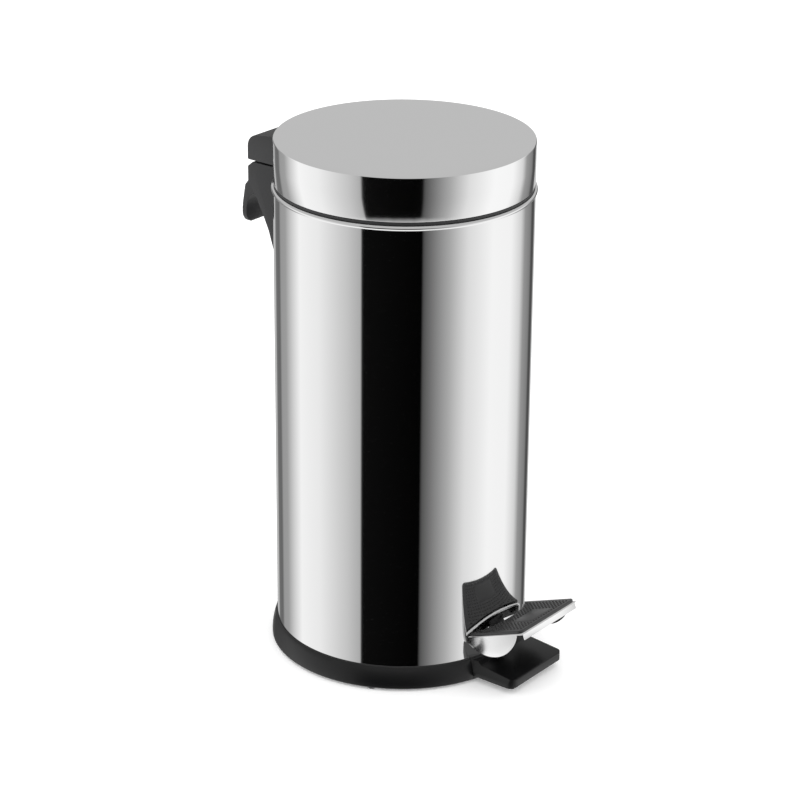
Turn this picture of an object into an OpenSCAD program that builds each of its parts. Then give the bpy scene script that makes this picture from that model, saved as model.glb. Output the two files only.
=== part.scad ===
// Round stainless steel pedal bin with a removable inner bucket.
// The axis of the bin is Z, the floor is Z = 0, the pedal points to -Y and the lid hinge to +Y.

/* [Shell] */
// Outer diameter of the steel shell
shell_d = 251; // [225:1:305]
// Height of the shell's rolled rim above the floor
rim_z = 478; // [390:1:620]
// Sheet thickness of the shell
shell_t = 0.6; // [0.5:0.1:1.2]
// Radius of the bead rolled at the shell's mouth
bead_r = 2.4; // [1.6:0.1:2.6]

/* [Base] */
// How far the base ring flares out past the shell at the floor
ring_flare = 5.5; // [4:0.5:8]
// Height of the top edge of the base ring
ring_top_z = 24.3; // [22:0.1:26]
// Width of the stabiliser foot under the pedal
foot_w = 84.6; // [70:0.1:90]
// How far the stabiliser foot reaches past the shell
foot_reach = 46.5; // [34:0.5:56]
// Height of the rubber feet under the base ring
pad_h = 2; // [1.5:0.1:3]

/* [Lid] */
// Height of the lid's side wall
lid_h = 43.5; // [36:0.5:55]
// Gap between the shell's rim and the lid's lower edge
lid_gap = 3.5; // [3:0.1:6]
// Sheet thickness of the lid cap
lid_t = 0.7; // [0.5:0.1:1.2]
// How far the lid's wall stands inside the shell's outside
lid_inset = 0.3; // [0.2:0.1:1]

/* [Hinge] */
// Width of the hinge blocks and of the carrying handle
hinge_w = 50; // [46:1:60]
// How far the hinge blocks reach past the shell
hinge_reach = 51; // [48:0.5:58]
// Diameter of the hinge pin
hinge_pin_d = 4; // [3:0.5:4]
// Length of the crank arm that the push rod lifts
crank_arm = 14; // [13:0.5:15]
// Angle of the crank arm below the horizontal with the lid closed
crank_angle = 35; // [30:1:40]

/* [Pedal] */
// Width of the pedal
pedal_w = 90.6; // [80:0.1:100]
// Length of the pedal's tread, measured up its slope from its inner corners
tread_l = 68.5; // [57:0.5:82.5]
// Slope of the tread
tread_angle = 20.8; // [18:0.2:23]
// Thickness of the rubber tread pad
tread_pad_t = 3; // [2:0.1:4]
// Thickness of the pedal cover's sheet
cover_t = 1.2; // [0.8:0.1:1.6]
// Gap between the shell and the pedal's inner corners
pedal_gap = 1.4; // [1.2:0.1:4]
// Radius of the tread's hollow inner edge
pedal_arc_r = 72; // [60:1:86]
// Distance of the pedal's pivot in front of the bin's axis
pivot_y = 15; // [5:1:25]
// Height of the pedal's pivot
pivot_z = 31; // [31:1:33]
// Diameter of the pedal's pivot pin
pivot_pin_d = 5; // [4:0.5:6]
// Outer width of the lever's channel
lever_w = 14; // [12:1:16]
// Diameter of the push rod's wire
rod_d = 4; // [3:0.5:4]
// Vertical stroke of the push rod
rod_stroke = 17.9; // [16:0.1:19]

/* [Bucket] */
// Wall thickness of the inner bucket
bucket_t = 1.8; // [1.5:0.1:2.5]
// Height of the bucket's underside above the floor
bucket_bottom_z = 51; // [50:1:70]
// Diameter of the bail handle's wire
bail_d = 3.5; // [3:0.5:4]

/* [Hidden] */
$fn = 96;

// Named clearances
fit = 0.1;
seat_gap = 0.25;
// How much fuller a bent wire is at its corner
knuckle = 1.15;
over = 20;

// Shell and its mouth
shell_r = shell_d / 2;
shell_ri = shell_r - shell_t;
bead_ring_r = shell_r + 1.75 - bead_r;
bead_in_r = bead_ring_r - bead_r;
bead_out_r = bead_ring_r + bead_r;
shell_bottom_z = 12;

// Base
ring_bottom_z = pad_h;
ring_floor_r = shell_r + ring_flare;
ring_top_r = shell_r + 2.1;
ring_in_r = shell_r - 6.5;
ring_seat_r = shell_r + fit;
disc_t = 0.8;
disc_top_z = shell_bottom_z + disc_t;
disc_r = shell_ri - fit;
disc_flange_h = 8;
foot_end_y = -(shell_r + foot_reach);
foot_bottom_z = ring_bottom_z + 4.5;
foot_end_top_z = 16.2;
foot_in_top_z = ring_top_z - 4.3;
foot_side_draft = 2;
foot_corner_r = 9;
foot_seam = 0.3;
foot_tongue_w = 56;
foot_tongue_top_z = shell_bottom_z - fit;
foot_tongue_t = 3;
foot_tongue_in_y = -(shell_r - 38);
foot_screw_x = 18;
foot_screw_y = -(shell_r - 28);
rubber_foot_d = 9;
rubber_foot_in = 1.5;
rubber_foot_ring_r = (ring_floor_r + ring_in_r) / 2 - 0.5;
rubber_foot_angles = [35, 90, 145, 205, 335];
foot_pad_x = 27;
foot_pad_y = foot_end_y + 14;

// Lid
lid_r = shell_r - lid_inset;
lid_bottom_z = rim_z + lid_gap;
lid_top_z = lid_bottom_z + lid_h;
lid_edge_r = 2.2;
liner_t = 2.2;
liner_r = lid_r - lid_t - 0.15;
liner_in_r = liner_r - liner_t;
liner_bottom_z = lid_bottom_z + 0.8;
liner_top_z = lid_top_z - lid_t - 0.2;
liner_lip_r = liner_r - 3.6;
liner_lip_h = 2;

// Collar in the shell's mouth
collar_top_z = lid_bottom_z - 0.5;
collar_r = bead_in_r - seat_gap;
collar_flange_r = lid_r - 0.5;
collar_mouth_r = shell_r - 6.7;
collar_ledge_r = collar_mouth_r - 4.2;
collar_ledge_z = rim_z - 3.5;
collar_ledge_t = 3.5;
collar_skirt_t = 2;
collar_skirt_h = 12;

// Hinge
hinge_out_y = shell_r + hinge_reach;
hinge_gap_top_z = rim_z - 5;
hinge_gap_bottom_z = hinge_gap_top_z - 2;
hinge_y = hinge_out_y - 5.5;
hinge_z = hinge_gap_top_z - 6.5;
hinge_wall = 3;
hinge_boss_x = 8.2;
crank_half_w = 7;
lug_r = 5.2;
crank_eye_r = 4.6;
crank_y = hinge_y - crank_arm * cos(crank_angle);
crank_z = hinge_z - crank_arm * sin(crank_angle);
block_top_z = lid_bottom_z + 17;
block_rise = 3.4;
lid_boss_r = 4;
lid_boss_x = 15;
lid_boss_z = lid_bottom_z + 10;
lid_boss_l = 13;
handle_lip_out_y = hinge_out_y + 8;
handle_lip_z = rim_z - 73;
handle_lip_t = 5;
handle_corner_r = 12;
bracket_tail_z = rim_z - 138;
bracket_boss_r = 4;
bracket_boss_x = 18;
bracket_boss_l = 14;
bracket_boss_zs = [rim_z - 28, rim_z - 98];

// Push rod
rod_r = rod_d / 2;
rod_x = crank_half_w + rod_r + 2;
rod_end_x = crank_half_w + 2.6;
rod_wall_gap = 5.9;
rod_run_y = sqrt(shell_ri * shell_ri - rod_x * rod_x) - rod_r - rod_wall_gap;
rod_jog_top_z = crank_z - 18.5;
rod_jog_bottom_z = rod_jog_top_z - (crank_y - rod_run_y) * 0.84;
clip_r = 3.8;
clip_t = 1.2;

// Pedal lever
rear_arm = rod_run_y + pivot_y;
lever_tilt = asin(rod_stroke / 2 / rear_arm);
lever_t = 2;
lever_web_z = 4;
lever_drop = 6;
lever_half_w = lever_w / 2;
tongue_t = 2.5;
tongue_half_w = 12;
tongue_z = lever_web_z + lever_t - tongue_t / 2;
rod_low_z = pivot_z - rear_arm * sin(lever_tilt);
rod_slot_in = rod_r + 3.2;
rod_slot_out = rod_r + 2.2;
rod_slot_h = rod_d + 2.4;
lever_end_y = rear_arm + rod_slot_out + 2.3;
lever_front_y = -(shell_r - pivot_y - 16);
lever_exit_y = -(shell_r - pivot_y + 3.5);
lever_slot_half_w = tongue_half_w + 2;
lever_slot_bottom_z = ring_top_z + 1.5;
lever_slot_top_z = 47;

// Pedal
pedal_half = pedal_w / 2;
tread_in_y = -sqrt(pow(shell_r + pedal_gap, 2) - pow(pedal_half, 2));
tread_arc_y = tread_in_y + sqrt(pow(pedal_arc_r, 2) - pow(pedal_half, 2));
tread_arc_depth = pedal_arc_r + tread_in_y - tread_arc_y;
tread_z = 49.6;
cheek_depth = 22.7;
cheek_half_l = tread_l * 0.494;
cheek_r = (cheek_half_l * cheek_half_l + cheek_depth * cheek_depth) / (2 * cheek_depth);
cheek_mid = -tread_l * 0.41;
front_lip_h = 7.4;
front_lip_gap = 2.4;
pad_inner_gap = 2;
rivet_r = 2;
rivet_head_r = 3.6;
rivet_head_h = 1.5;
pedal_rivet_x = 7;
tread_run = tread_l - tread_arc_depth;
pedal_rivet_ys = [-(tread_arc_depth + tread_run * 0.305), -(tread_arc_depth + tread_run * 0.657)];
head_gap = 0.6;
head_skirt_t = 2;
head_skirt_h = 8;

// Pivot bearings
bearing_x = lever_half_w + 0.8;
bearing_t = 4;
bearing_half_l = 9;
bearing_foot_t = 3.5;
bearing_foot_w = 18;
bearing_rivet_x = bearing_x + 11.5;
bearing_rivet_dy = 5;
pin_head_r = pivot_pin_d / 2 + 1.8;
pin_head_h = 1.5;
pin_tail = 3;

// Bucket
flange_r = collar_mouth_r - 0.6;
flange_bottom_z = collar_ledge_z + 0.3;
flange_t = 2.5;
flange_top_z = flange_bottom_z + flange_t;
bucket_top_r = shell_r - 15.5;
bucket_bottom_r = bucket_top_r - 9;
bail_z = flange_top_z + 4.3;
bail_ring_r = bucket_top_r - 0.5;
bail_r = bail_d / 2;
ear_x = bail_ring_r + bail_r + 0.5;
ear_t = 2.4;
ear_half_l = 5;
grip_r = 3.8;
grip_half_angle = 24;

// Extrudes a profile drawn as (Y, Z) between two X places
module along_x(x0, x1) {
    translate([x0, 0, 0]) rotate([90, 0, 90]) linear_extrude(x1 - x0) children();
}

// Round bar along X between two X places
module bar_x(x0, x1, y, z, r) {
    translate([x0, y, z]) rotate([0, 90, 0]) cylinder(h = x1 - x0, r = r);
}

// Round bar along Y between two Y places
module bar_y(y0, y1, x, z, r) {
    translate([x, y0, z]) rotate([-90, 0, 0]) cylinder(h = y1 - y0, r = r);
}

// Round bar along Z between two heights
module bar_z(z0, z1, x, y, r) {
    translate([x, y, z0]) cylinder(h = z1 - z0, r = r);
}

// Tube between two heights
module tube(z0, z1, r_out, r_in) {
    difference() {
        bar_z(z0, z1, 0, 0, r_out);
        bar_z(z0 - 1, z1 + 1, 0, 0, r_in);
    }
}

// Pan head screw from head seat to tip, pointing to +Z
module pan_screw(l, r, head_r, head_h) {
    cylinder(h = l, r = r);
    translate([0, 0, -head_h]) cylinder(h = head_h, r1 = head_r * 0.8, r2 = head_r);
}

// Points of a quarter arc from angle a0 to a1
function arc(cy, cz, r, a0, a1, n) = [for (i = [0:n])
    [cy + r * cos(a0 + (a1 - a0) * i / n), cz + r * sin(a0 + (a1 - a0) * i / n)]];

// Round stock along straight legs, a little fuller at its bends
module wire(points, r) {
    for (i = [0:len(points) - 2]) {
        a = points[i];
        v = points[i + 1] - a;
        l = norm(v);
        translate(a) rotate([0, acos(v[2] / l), atan2(v[1], v[0])]) cylinder(h = l, r = r);
    }
    for (i = [1:len(points) - 2]) {
        translate(points[i]) sphere(r = r * knuckle);
    }
}

// Normal of the line from a to b
function normal(a, b) = [a[1] - b[1], b[0] - a[0]] / norm(b - a);

// The strip's edge at distance h beside its middle line, with mitred corners
function strip_edge(points, h) = let (last = len(points) - 1) [for (i = [0:last])
    let (m = normal(points[max(i - 1, 0)], points[max(i, 1)])
        + normal(points[min(i, last - 1)], points[min(i + 1, last)]))
    points[i] + m * 2 * h / (m * m)];

// Flat strip of thickness t along (Y, Z) points
module strip(points, t, half_w) {
    edge = strip_edge(points, -t / 2);
    along_x(-half_w, half_w) polygon(concat(strip_edge(points, t / 2),
        [for (i = [len(edge) - 1:-1:0]) edge[i]]));
}

// Place of a point given in the lever's own frame, whose origin is the pivot
function lever_point(y, z) = [
    -pivot_y + y * cos(lever_tilt) + z * sin(lever_tilt),
    pivot_z - y * sin(lever_tilt) + z * cos(lever_tilt)];

// Place of a point given in the tread's own frame, whose origin is the inner edge
function tread_point(y, z) = [
    tread_in_y + y * cos(tread_angle) + z * sin(tread_angle),
    tread_z - y * sin(tread_angle) + z * cos(tread_angle)];

// Upright round tool for the tread's hollow edge, with its radius larger by more
module tread_arc(more) {
    bar_z(0, 2 * tread_z + over, 0, tread_arc_y, pedal_arc_r + more);
}

module lever_frame() {
    translate([0, -pivot_y, pivot_z]) rotate([-lever_tilt, 0, 0]) children();
}

module tread_frame() {
    translate([0, tread_in_y, tread_z]) rotate([-tread_angle, 0, 0]) children();
}

// Outline of the base ring's section as (radius, height)
function ring_outline() = concat(
    [[ring_in_r, ring_bottom_z], [ring_floor_r - 1.2, ring_bottom_z],
     [ring_floor_r, ring_bottom_z + 1.2]],
    [for (i = [1:5]) let (s = i / 5)
        [ring_floor_r - (ring_floor_r - ring_top_r) * s * s,
         ring_bottom_z + 1.2 + (ring_top_z - 1 - ring_bottom_z - 1.2) * s]],
    [[ring_top_r - 0.6, ring_top_z], [ring_seat_r, ring_top_z],
     [ring_seat_r, shell_bottom_z], [ring_in_r, shell_bottom_z]]);

module ring_section() {
    rotate_extrude() polygon(ring_outline());
}

module rubber_foot_places() {
    for (a = rubber_foot_angles) {
        rotate([0, 0, a]) translate([rubber_foot_ring_r, 0, 0]) children();
    }
}

module foot_pad_places() {
    for (x = [-foot_pad_x, foot_pad_x]) {
        translate([x, foot_pad_y, 0]) children();
    }
}

module shell() {
    color("silver") difference() {
        union() {
            tube(shell_bottom_z, rim_z - bead_r, shell_r, shell_ri);
            translate([0, 0, rim_z - bead_r]) rotate_extrude()
                translate([bead_ring_r, 0]) circle(r = bead_r);
        }
        translate([-lever_slot_half_w, -shell_r - over, lever_slot_bottom_z])
            cube([2 * lever_slot_half_w, 2 * over, lever_slot_top_z - lever_slot_bottom_z]);
        translate([rod_x - rod_r - 2, shell_r - over, rod_jog_bottom_z - 8])
            cube([rod_d + 4, 2 * over, rod_stroke + 24]);
        for (z = bracket_boss_zs, x = [-bracket_boss_x, bracket_boss_x]) {
            bar_y(shell_r - over, shell_r + over, x, z, 2.1);
        }
    }
}

module bottom_disc() {
    color("silver") difference() {
        union() {
            bar_z(shell_bottom_z, disc_top_z, 0, 0, disc_r);
            tube(shell_bottom_z, shell_bottom_z + disc_flange_h, disc_r, disc_r - disc_t);
        }
        for (x = [-bearing_rivet_x, bearing_rivet_x], dy = [-bearing_rivet_dy, bearing_rivet_dy]) {
            bar_z(0, over, x, -pivot_y + dy, rivet_r);
        }
        for (x = [-foot_screw_x, foot_screw_x]) {
            bar_z(0, over, x, foot_screw_y, 2);
        }
    }
}

module base_ring() {
    color("dimgray") difference() {
        ring_section();
        translate([-foot_w / 2 - foot_seam, -shell_r - over, -1])
            cube([foot_w + 2 * foot_seam, shell_r, over + ring_top_z]);
        rubber_foot_places() bar_z(0, ring_bottom_z + rubber_foot_in, 0, 0, rubber_foot_d / 2);
    }
}

// The foot's side outline as (Y, Z), from the ring out to its rounded end
function foot_outline() = concat(
    [[-(shell_r - 20), foot_bottom_z], [foot_end_y + 2, foot_bottom_z],
     [foot_end_y, foot_bottom_z + 1.6], [foot_end_y, foot_end_top_z - 2]],
    [[foot_end_y + 0.6, foot_end_top_z - 0.7], [foot_end_y + 2, foot_end_top_z]],
    [[-(shell_r + 6), foot_in_top_z], [-(shell_r + 2.5), ring_top_z - 1.5],
     [-(shell_r - 20), ring_top_z - 1.5]]);

module foot_plan(inset) {
    w = foot_w / 2 - inset;
    polygon(concat(
        [[-w, -(shell_r - 30)]],
        [for (p = arc(-w + foot_corner_r, foot_end_y + inset + foot_corner_r,
            foot_corner_r, 180, 270, 8)) p],
        [for (p = arc(w - foot_corner_r, foot_end_y + inset + foot_corner_r,
            foot_corner_r, 270, 360, 8)) p],
        [[w, -(shell_r - 30)]]));
}

module stabiliser_foot() {
    color("dimgray") difference() {
        union() {
            intersection() {
                ring_section();
                translate([-foot_w / 2, -shell_r - over, 0])
                    cube([foot_w, shell_r, over + ring_top_z]);
            }
            intersection() {
                along_x(-foot_w / 2, foot_w / 2) polygon(foot_outline());
                difference() {
                    linear_extrude(2 * over) foot_plan(0);
                    bar_z(-1, shell_bottom_z, 0, 0, ring_in_r);
                    bar_z(shell_bottom_z, 3 * over, 0, 0, ring_seat_r);
                    for (s = [-1, 1]) {
                        translate([s * foot_w / 2, 0, foot_bottom_z + 4])
                            rotate([0, s * -11, 0])
                            translate([s * over / 2, -shell_r, over])
                            cube([over, 3 * shell_r, 2 * over], center = true);
                    }
                }
            }
            translate([-foot_tongue_w / 2, -shell_r, foot_tongue_top_z - foot_tongue_t])
                cube([foot_tongue_w, shell_r + foot_tongue_in_y, foot_tongue_t]);
        }
        for (x = [-foot_screw_x, foot_screw_x]) {
            bar_z(0, over, x, foot_screw_y, 2);
        }
        foot_pad_places() bar_z(0, foot_bottom_z + rubber_foot_in, 0, 0, rubber_foot_d / 2);
    }
}

module rubber_feet() {
    color("black") {
        rubber_foot_places() bar_z(0, ring_bottom_z + rubber_foot_in, 0, 0, rubber_foot_d / 2);
        foot_pad_places() bar_z(0, foot_bottom_z + rubber_foot_in, 0, 0, rubber_foot_d / 2);
    }
}

module foot_screws() {
    color("gray") for (x = [-foot_screw_x, foot_screw_x]) {
        translate([x, foot_screw_y, foot_tongue_top_z - foot_tongue_t]) pan_screw(7, 2, 3.6, 2);
        bar_z(disc_top_z, disc_top_z + 2, x, foot_screw_y, 3.5);
    }
}

module top_collar() {
    color("dimgray") rotate_extrude() polygon([
        [collar_ledge_r, collar_ledge_z - collar_ledge_t], [collar_ledge_r, collar_ledge_z],
        [collar_mouth_r, collar_ledge_z], [collar_mouth_r, collar_top_z],
        [collar_flange_r, collar_top_z], [collar_flange_r, rim_z + 0.2],
        [collar_r, rim_z - 0.6], [collar_r, rim_z - collar_skirt_h],
        [collar_r - collar_skirt_t, rim_z - collar_skirt_h],
        [collar_r - collar_skirt_t, collar_ledge_z - collar_ledge_t]]);
}

// Bearing bracket on the positive X side of the lever
module bearing() {
    difference() {
        union() {
            translate([bearing_x, -pivot_y - bearing_half_l, disc_top_z])
                cube([bearing_t, 2 * bearing_half_l, pivot_z - disc_top_z]);
            bar_x(bearing_x, bearing_x + bearing_t, -pivot_y, pivot_z, bearing_half_l);
            translate([bearing_x, -pivot_y - bearing_half_l, disc_top_z])
                cube([bearing_foot_w, 2 * bearing_half_l, bearing_foot_t]);
        }
        bar_x(0, over * 2, -pivot_y, pivot_z, pivot_pin_d / 2);
        for (dy = [-bearing_rivet_dy, bearing_rivet_dy]) {
            bar_z(0, pivot_z, bearing_rivet_x, -pivot_y + dy, rivet_r);
        }
    }
}

module bearing_left() {
    color("dimgray") mirror([1, 0, 0]) bearing();
}

module bearing_right() {
    color("dimgray") bearing();
}

module bearing_rivets() {
    color("gray") for (x = [-bearing_rivet_x, bearing_rivet_x],
        dy = [-bearing_rivet_dy, bearing_rivet_dy]) {
        bar_z(shell_bottom_z - rivet_head_h, disc_top_z + bearing_foot_t + 0.5, x,
            -pivot_y + dy, rivet_r);
        bar_z(shell_bottom_z - rivet_head_h, shell_bottom_z, x, -pivot_y + dy, rivet_r + 1);
        bar_z(disc_top_z + bearing_foot_t, disc_top_z + bearing_foot_t + rivet_head_h, x,
            -pivot_y + dy, rivet_r + 1.2);
    }
}

module pedal_pivot_pin() {
    x_end = bearing_x + bearing_t;
    color("gray") difference() {
        union() {
            bar_x(-x_end - pin_head_h, x_end + pin_tail, -pivot_y, pivot_z, pivot_pin_d / 2);
            bar_x(-x_end - pin_head_h, -x_end, -pivot_y, pivot_z, pin_head_r);
        }
        difference() {
            bar_x(x_end, x_end + clip_t, -pivot_y, pivot_z, pin_head_r);
            bar_x(x_end - 1, x_end + 2, -pivot_y, pivot_z, pivot_pin_d / 2 - 0.6);
        }
    }
}

module pivot_pin_clip() {
    x_end = bearing_x + bearing_t;
    color("gray") difference() {
        bar_x(x_end, x_end + clip_t, -pivot_y, pivot_z, pin_head_r + 0.5);
        bar_x(x_end - 1, x_end + 2, -pivot_y, pivot_z, pivot_pin_d / 2 - 0.6);
        translate([x_end - 1, -pivot_y - 1, pivot_z]) cube([clip_t + 2, 2, over]);
    }
}

// Outside of the rear bracket as (Y, Z): hinge block, carrying handle and tail
function bracket_outline() = [
    [shell_r - 10, hinge_gap_bottom_z],
    [hinge_out_y - 6, hinge_gap_bottom_z],
    [hinge_out_y, hinge_gap_bottom_z - 5],
    [hinge_out_y, rim_z - 27],
    [hinge_out_y + 4, rim_z - 32],
    [handle_lip_out_y - 0.8, rim_z - 50],
    [handle_lip_out_y, rim_z - 57],
    [handle_lip_out_y, handle_lip_z + 2.5],
    [handle_lip_out_y - 1.2, handle_lip_z + 0.6],
    [handle_lip_out_y - 2.8, handle_lip_z],
    [handle_lip_out_y - handle_lip_t + 0.8, handle_lip_z + 0.8],
    [handle_lip_out_y - handle_lip_t, handle_lip_z + 3],
    [handle_lip_out_y - handle_lip_t - 0.3, rim_z - 56],
    [hinge_out_y + 1.2, rim_z - 48],
    [hinge_out_y - 2.2, rim_z - 43.4],
    [hinge_out_y - 5.5, rim_z - 40.4],
    [hinge_out_y - 8.5, rim_z - 39.2],
    [hinge_out_y - 18.8, rim_z - 58.6],
    [hinge_out_y - 26, rim_z - 74],
    [hinge_out_y - 31.2, rim_z - 90],
    [shell_r + 7, bracket_tail_z + 17],
    [shell_r + 3, bracket_tail_z],
    [shell_r - 10, bracket_tail_z]];

// Hollow inside the rear bracket, open to the shell
function bracket_hollow() = [
    [shell_r - over, hinge_gap_bottom_z - hinge_wall],
    [hinge_y - lug_r + 0.2, hinge_gap_bottom_z - hinge_wall],
    [hinge_y - lug_r + 0.2, hinge_z - lug_r - 0.6],
    [hinge_out_y - hinge_wall, hinge_z - lug_r - 0.6],
    [hinge_out_y - hinge_wall, rim_z - 29],
    [hinge_out_y - 9.5, rim_z - 35.5],
    [hinge_out_y - 12.8, rim_z - 40.5],
    [hinge_out_y - 22.2, rim_z - 58.6],
    [hinge_out_y - 29.3, rim_z - 74],
    [hinge_out_y - 34.4, rim_z - 90],
    [shell_r + 4, bracket_tail_z + 19],
    [shell_r + 1, bracket_tail_z + 8],
    [shell_r - over, bracket_tail_z + 8]];

module rear_bracket() {
    half = hinge_w / 2;
    color("dimgray") difference() {
        union() {
            difference() {
                along_x(-half, half) polygon(bracket_outline());
                along_x(-half + hinge_wall, half - hinge_wall) polygon(bracket_hollow());
            }
            for (z = bracket_boss_zs, x = [-bracket_boss_x, bracket_boss_x]) {
                bar_y(shell_r - 5, shell_r - 1.3 + bracket_boss_l, x, z, bracket_boss_r);
            }
        }
        bar_z(bracket_tail_z - over, rim_z, 0, 0, shell_r);
        translate([-rod_x - rod_r - 1.5, shell_r + 5, hinge_gap_bottom_z - hinge_wall - 1])
            cube([2 * (rod_x + rod_r + 1.5), hinge_y - lug_r + 0.2 - shell_r - 5, over]);
        translate([-hinge_boss_x, shell_r + 5, hinge_z - lug_r - 0.6])
            cube([2 * hinge_boss_x, 3 * over, over]);
        bar_x(-half + 2, half + 1, hinge_y, hinge_z, hinge_pin_d / 2);
        for (s = [-1, 1]) {
            translate([s * (half - handle_corner_r), shell_r, handle_lip_z + handle_corner_r])
                difference() {
                    translate([s > 0 ? 0 : -over, 0, -over]) cube([over, 4 * over, over]);
                    bar_y(-1, 5 * over, 0, 0, handle_corner_r);
                    translate([-over, -1, -over])
                        cube([2 * over, hinge_out_y - shell_r - 8, 2 * over]);
                }
        }
        for (z = bracket_boss_zs, x = [-bracket_boss_x, bracket_boss_x]) {
            bar_y(shell_r - 10, shell_r - 3 + bracket_boss_l, x, z, 1.7);
        }
    }
}

module hinge_pin() {
    color("gray")
        bar_x(-hinge_w / 2 + 2, hinge_w / 2, hinge_y, hinge_z, hinge_pin_d / 2);
}

module bracket_screws() {
    color("gray") for (z = bracket_boss_zs, x = [-bracket_boss_x, bracket_boss_x]) {
        seat = sqrt(pow(shell_ri, 2) - pow(bracket_boss_x + 3.5, 2));
        translate([x, seat, z]) rotate([-90, 0, 0])
            pan_screw(bracket_boss_l - 4, 1.7, 3.5, 2.2);
    }
}

module pedal_lever() {
    color("gray") difference() {
        union() {
            lever_frame() {
                translate([-lever_half_w, lever_front_y, lever_web_z])
                    cube([lever_w, lever_end_y - lever_front_y, lever_t]);
                for (x = [-lever_half_w, lever_half_w - lever_t]) {
                    translate([x, lever_front_y, -lever_drop])
                        cube([lever_t, lever_end_y - lever_front_y, lever_drop + lever_web_z + 0.5]);
                }
            }
            strip([lever_point(lever_front_y + 20, tongue_z), lever_point(lever_exit_y, tongue_z),
                tread_point(-tread_arc_depth - 8, -cover_t - tongue_t / 2),
                tread_point(-tread_l + 14, -cover_t - tongue_t / 2)], tongue_t, tongue_half_w);
            pedal_head();
        }
        lever_frame() {
            bar_x(-over, over, 0, 0, pivot_pin_d / 2 + fit);
            translate([-over, rear_arm - rod_slot_in, -rod_slot_h / 2])
                cube([2 * over, rod_slot_in + rod_slot_out, rod_slot_h]);
        }
        tread_frame() for (x = [-pedal_rivet_x, pedal_rivet_x], y = pedal_rivet_ys) {
            bar_z(-over, over, x, y, rivet_r);
        }
    }
}

// Wide head of the lever under the tread, with a skirt down its hollow edge
module pedal_head() {
    w = pedal_half - cover_t - head_gap;
    difference() {
        tread_frame() translate([-w, -tread_l + cover_t + 2, -cover_t - tongue_t])
            cube([2 * w, tread_l, tongue_t]);
        tread_arc(head_gap);
    }
    intersection() {
        difference() {
            tread_arc(head_gap + head_skirt_t);
            tread_arc(head_gap);
        }
        tread_frame() translate([-w, -tread_l / 2, -cover_t - 1 - head_skirt_h])
            cube([2 * w, tread_l, head_skirt_h]);
    }
}

module pedal_cover() {
    color("gainsboro") difference() {
        tread_frame() difference() {
            union() {
                translate([-pedal_half, -tread_l, -cover_t])
                    cube([pedal_w, tread_l + over, cover_t]);
                translate([-pedal_half + front_lip_gap, -tread_l, -front_lip_h])
                    cube([pedal_w - 2 * front_lip_gap, cover_t, front_lip_h]);
                for (x = [-pedal_half, pedal_half - cover_t]) {
                    intersection() {
                        bar_x(x, x + cover_t, cheek_mid, cheek_r - cheek_depth, cheek_r);
                        translate([x, -tread_l + cover_t + 1, -over * 2])
                            cube([cover_t, tread_l + over, over * 2 - cover_t / 2]);
                    }
                }
            }
            for (x = [-pedal_rivet_x, pedal_rivet_x], y = pedal_rivet_ys) {
                bar_z(-over, over, x, y, rivet_r);
            }
        }
        tread_arc(0);
    }
}

module tread_pad() {
    half = pedal_half - 0.4;
    color("black") difference() {
        tread_frame() translate([0, 0, 0]) linear_extrude(tread_pad_t) polygon(concat(
            [[-half, over]],
            arc(-half + 3, -tread_l + 0.6 + 3, 3, 180, 270, 5),
            arc(half - 3, -tread_l + 0.6 + 3, 3, 270, 360, 5),
            [[half, over]]));
        tread_arc(pad_inner_gap);
    }
}

module pedal_rivets() {
    color("gray") tread_frame()
        for (x = [-pedal_rivet_x, pedal_rivet_x], y = pedal_rivet_ys) {
            bar_z(-cover_t - tongue_t - rivet_head_h, 0, x, y, rivet_r);
            bar_z(-cover_t - tongue_t - rivet_head_h, -cover_t - tongue_t, x, y, rivet_head_r);
        }
}

module push_rod() {
    color("gray") wire([
        [-rod_end_x, rod_run_y, rod_low_z],
        [rod_x, rod_run_y, rod_low_z],
        [rod_x, rod_run_y, rod_jog_bottom_z],
        [rod_x, crank_y, rod_jog_top_z],
        [rod_x, crank_y, crank_z],
        [-rod_end_x, crank_y, crank_z]], rod_r);
}

module rod_clips() {
    color("gray") for (p = [[rod_run_y, rod_low_z], [crank_y, crank_z]]) {
        difference() {
            bar_x(-crank_half_w - 0.6 - clip_t, -crank_half_w - 0.6, p[0], p[1], clip_r);
            bar_x(-over, over, p[0], p[1], rod_r);
        }
    }
}

// Section of the lid cap's outside as (radius, height)
function cap_outline(r, top, edge) = concat(
    [[0, lid_bottom_z]], [[r, lid_bottom_z]], arc(r - edge, top - edge, edge, 0, 90, 5), [[0, top]]);

module lid_cap() {
    color("silver") difference() {
        rotate_extrude() polygon(cap_outline(lid_r, lid_top_z, lid_edge_r));
        rotate_extrude() polygon(concat([[0, lid_bottom_z - 1], [lid_r - lid_t, lid_bottom_z - 1]],
            arc(lid_r - lid_edge_r, lid_top_z - lid_edge_r, lid_edge_r - lid_t, 0, 90, 5),
            [[0, lid_top_z - lid_t]]));
        for (x = [-lid_boss_x, lid_boss_x]) {
            bar_y(lid_r - over, lid_r + over, x, lid_boss_z, 2);
        }
    }
}

module lid_liner() {
    color("dimgray") difference() {
        rotate_extrude() polygon(concat(
            [[liner_lip_r, liner_bottom_z], [liner_r, liner_bottom_z]],
            [[liner_r, liner_top_z - 2.5], [liner_r - 2.5, liner_top_z], [0, liner_top_z]],
            [[0, liner_top_z - liner_t], [liner_in_r - 2, liner_top_z - liner_t]],
            [[liner_in_r, liner_top_z - liner_t - 2], [liner_in_r, liner_bottom_z + liner_lip_h]],
            [[liner_lip_r, liner_bottom_z + liner_lip_h]]));
        for (x = [-lid_boss_x, lid_boss_x]) {
            bar_y(lid_r - over, lid_r + over, x, lid_boss_z, 2);
        }
        lid_bumper_places(0) bar_z(-1, 1, 0, 0, 1);
    }
}

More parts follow.
